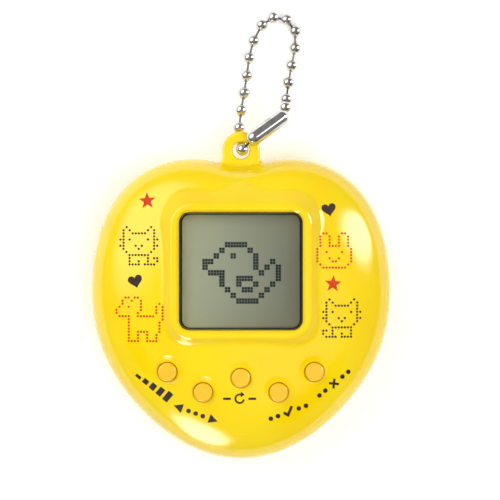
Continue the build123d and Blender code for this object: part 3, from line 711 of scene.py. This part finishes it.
def lens_border():
    """Black border printed on the back of the lens."""
    size = LENS_HIGH - LENS_LOW
    centre = (LENS_LOW + LENS_HIGH) / 2
    outer = rounded_loop(size.x - 2 * BORDER_GAP, size.y - 2 * BORDER_GAP, LENS_CORNER, centre)
    inner = rounded_loop(size.x - 2 * BORDER_SIDE, size.y - 2 * BORDER_END, BORDER_CORNER, centre)
    count = len(outer)
    quads = [(index, (index + 1) % count, count + (index + 1) % count, count + index)
             for index in range(count)]
    bottom = LENS_LOW.z + BORDER_LIFT
    upper = [(x, y, bottom + BORDER_DEPTH) for x, y in outer + inner]
    lower = [(x, y, bottom) for x, y in outer + inner]
    mesh = film_mesh("lens_border", [(upper, lower, quads)])
    mesh.materials.append(BORDER_INK)
    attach(new_object("lens_border", mesh), "case")


def screen_picture():
    """The pet on the display, made of dark cells on the front film."""
    offsets = [(side_x * CELL / 4, side_y * CELL / 4) for side_x in (-1, 1) for side_y in (-1, 1)]
    sheets = []
    for x, y in picture_places(DUCKLING, CELL):
        for offset_x, offset_y in offsets:
            centre = (PICTURE_CENTRE[0] + x + offset_x, PICTURE_CENTRE[1] + y + offset_y)
            loop = placed(bar(CELL_DOT, CELL_DOT), centre)
            upper = [(px, py, LCD_TOP + PICTURE_DEPTH) for px, py in loop]
            lower = [(px, py, LCD_TOP - PICTURE_DEPTH) for px, py in loop]
            sheets.append((upper, lower, [(0, 1, 2, 3)]))
    mesh = film_mesh("screen_picture", sheets)
    mesh.materials.append(CELL_INK)
    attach(new_object("screen_picture", mesh), "case")


# ----------------------------------------------------------------------------------------------
# Stage, lights and camera
# ----------------------------------------------------------------------------------------------
CAMERA_HEIGHT = 450.0         # mm above the parting line
VIEW_WIDTH = 80.15            # mm seen across the picture at the parting line
VIEW_CENTRE = (1.43, 9.43)
NEAREST_SEEN = 10.0
FARTHEST_SEEN = 10000.0
LIGHT_DISTANCE = 330.0
FLOOR_HALF = 2000.0
FLOOR_GLOW = 0.25             # emission strength
SKY_GLOW = 0.25               # background strength
WHITE = (1.0, 1.0, 1.0)
CARD_BROWN = (0.02, 0.015, 0.012)


def floor_paper():
    """Pale paper, faintly lit from below like a light table."""
    pale = (0.93, 0.93, 0.93)
    material, tree, shader, coords = new_material("floor_paper", pale, 0.7)
    vary_color(tree, shader, noise(tree, coords, size_mm=30.0), pale, (0.91, 0.91, 0.91))
    shader.inputs["Emission Color"].default_value = (*WHITE, 1)
    shader.inputs["Emission Strength"].default_value = FLOOR_GLOW
    return material


def floor():
    """Plain floor under the toy."""
    half = FLOOR_HALF * MM
    mesh = bpy.data.meshes.new("floor")
    corners = [(-half, -half, 0), (half, -half, 0), (half, half, 0), (-half, half, 0)]
    mesh.from_pydata(corners, [], [(0, 1, 2, 3)])
    mesh.materials.append(floor_paper())
    new_object("floor", mesh)


def direction(azimuth, elevation):
    """Unit vector; azimuth turns from +X towards +Y, elevation rises from the floor."""
    turn = math.radians(azimuth)
    rise = math.radians(elevation)
    flat = math.cos(rise)
    return Vector((math.cos(turn) * flat, math.sin(turn) * flat, math.sin(rise)))


def oval_glow(name, color, strength, edge):
    """Emission that fills the oval in a square card and fades out over its edge."""
    material = bpy.data.materials.new(name)
    material.use_nodes = True
    tree = material.node_tree
    tree.nodes.clear()
    coords = tree.nodes.new("ShaderNodeTexCoord")
    oval = tree.nodes.new("ShaderNodeTexGradient")
    oval.gradient_type = "SPHERICAL"
    fade = tree.nodes.new("ShaderNodeMapRange")
    fade.interpolation_type = "SMOOTHSTEP"
    fade.inputs["From Max"].default_value = edge
    glow = tree.nodes.new("ShaderNodeEmission")
    glow.inputs["Color"].default_value = (*color, 1)
    glow.inputs["Strength"].default_value = strength
    clear = tree.nodes.new("ShaderNodeBsdfTransparent")
    mix = tree.nodes.new("ShaderNodeMixShader")
    output = tree.nodes.new("ShaderNodeOutputMaterial")
    tree.links.new(coords.outputs["Object"], oval.inputs["Vector"])
    tree.links.new(oval.outputs["Fac"], fade.inputs["Value"])
    tree.links.new(fade.outputs["Result"], mix.inputs["Fac"])
    tree.links.new(clear.outputs["BSDF"], mix.inputs[1])
    tree.links.new(glow.outputs["Emission"], mix.inputs[2])
    tree.links.new(mix.outputs["Shader"], output.inputs["Surface"])
    return material


def panel(name, azimuth, elevation, width, height, color, strength, edge):
    """Oval card (mm) that faces the toy; it glows in its middle and fades over its edge."""
    mesh = bpy.data.meshes.new(name)
    mesh.from_pydata([(-1, -1, 0), (1, -1, 0), (1, 1, 0), (-1, 1, 0)], [], [(0, 1, 2, 3)])
    card = new_object(name, mesh)
    away = direction(azimuth, elevation)
    card.rotation_mode = "QUATERNION"
    card.rotation_quaternion = away.to_track_quat("Z", "Y")
    card.location = away * LIGHT_DISTANCE * MM
    card.scale = (width / 2 * MM, height / 2 * MM, 1)
    card.visible_camera = False
    card.visible_shadow = False
    mesh.materials.append(oval_glow(name, color, strength, edge))
    return card


def dark_card(name, azimuth, elevation, width, height):
    """Dark card that only reflections see, for the contrast in the polished chain."""
    card = panel(name, azimuth, elevation, width, height, CARD_BROWN, strength=1.0, edge=0.3)
    card.visible_diffuse = False
    card.visible_transmission = False


def gloss_strip(name, azimuth, elevation, width, height):
    """Bright strip light for gloss, which lights no matt surface."""
    strip = panel(name, azimuth, elevation, width, height, WHITE, strength=9.0, edge=0.5)
    strip.visible_diffuse = False


def lights():
    """A soft light above and one on the left, two strip lights for gloss, and dark cards."""
    overhead = panel("light_overhead", -35, 70, 340, 340, WHITE, strength=4.5, edge=0.5)
    overhead.visible_glossy = False
    overhead.visible_transmission = False
    panel("light_left", 140, 42, 560, 440, WHITE, strength=2.3, edge=0.6)
    gloss_strip("light_right", 21, 27, 170, 300)
    gloss_strip("light_lower_left", -111, 18, 200, 260)
    dark_card("card_lower_right", -50, 38, 220, 150)
    dark_card("card_lower_left", -150, 40, 120, 120)
    dark_card("card_top", 80, 50, 90, 90)


def camera():
    """Camera straight above the toy, as in the product picture."""
    data = bpy.data.cameras.new("camera")
    data.sensor_width = 36.0
    data.lens = data.sensor_width * CAMERA_HEIGHT / VIEW_WIDTH
    data.clip_start = NEAREST_SEEN * MM
    data.clip_end = FARTHEST_SEEN * MM
    made = new_object("camera", data)
    made.location = Vector((*VIEW_CENTRE, CAMERA_HEIGHT + PARTING_Z)) * MM
    bpy.context.scene.camera = made


def world():
    """Even pale surroundings."""
    made = bpy.data.worlds.new("studio")
    made.use_nodes = True
    background = made.node_tree.nodes["Background"]
    background.inputs["Color"].default_value = (*WHITE, 1)
    background.inputs["Strength"].default_value = SKY_GLOW
    bpy.context.scene.world = made


dress_frame()
figures()
signs()
lens_border()
screen_picture()
soft_domes()
floor()
lights()
camera()
world()
bpy.context.scene.view_settings.view_transform = "Standard"
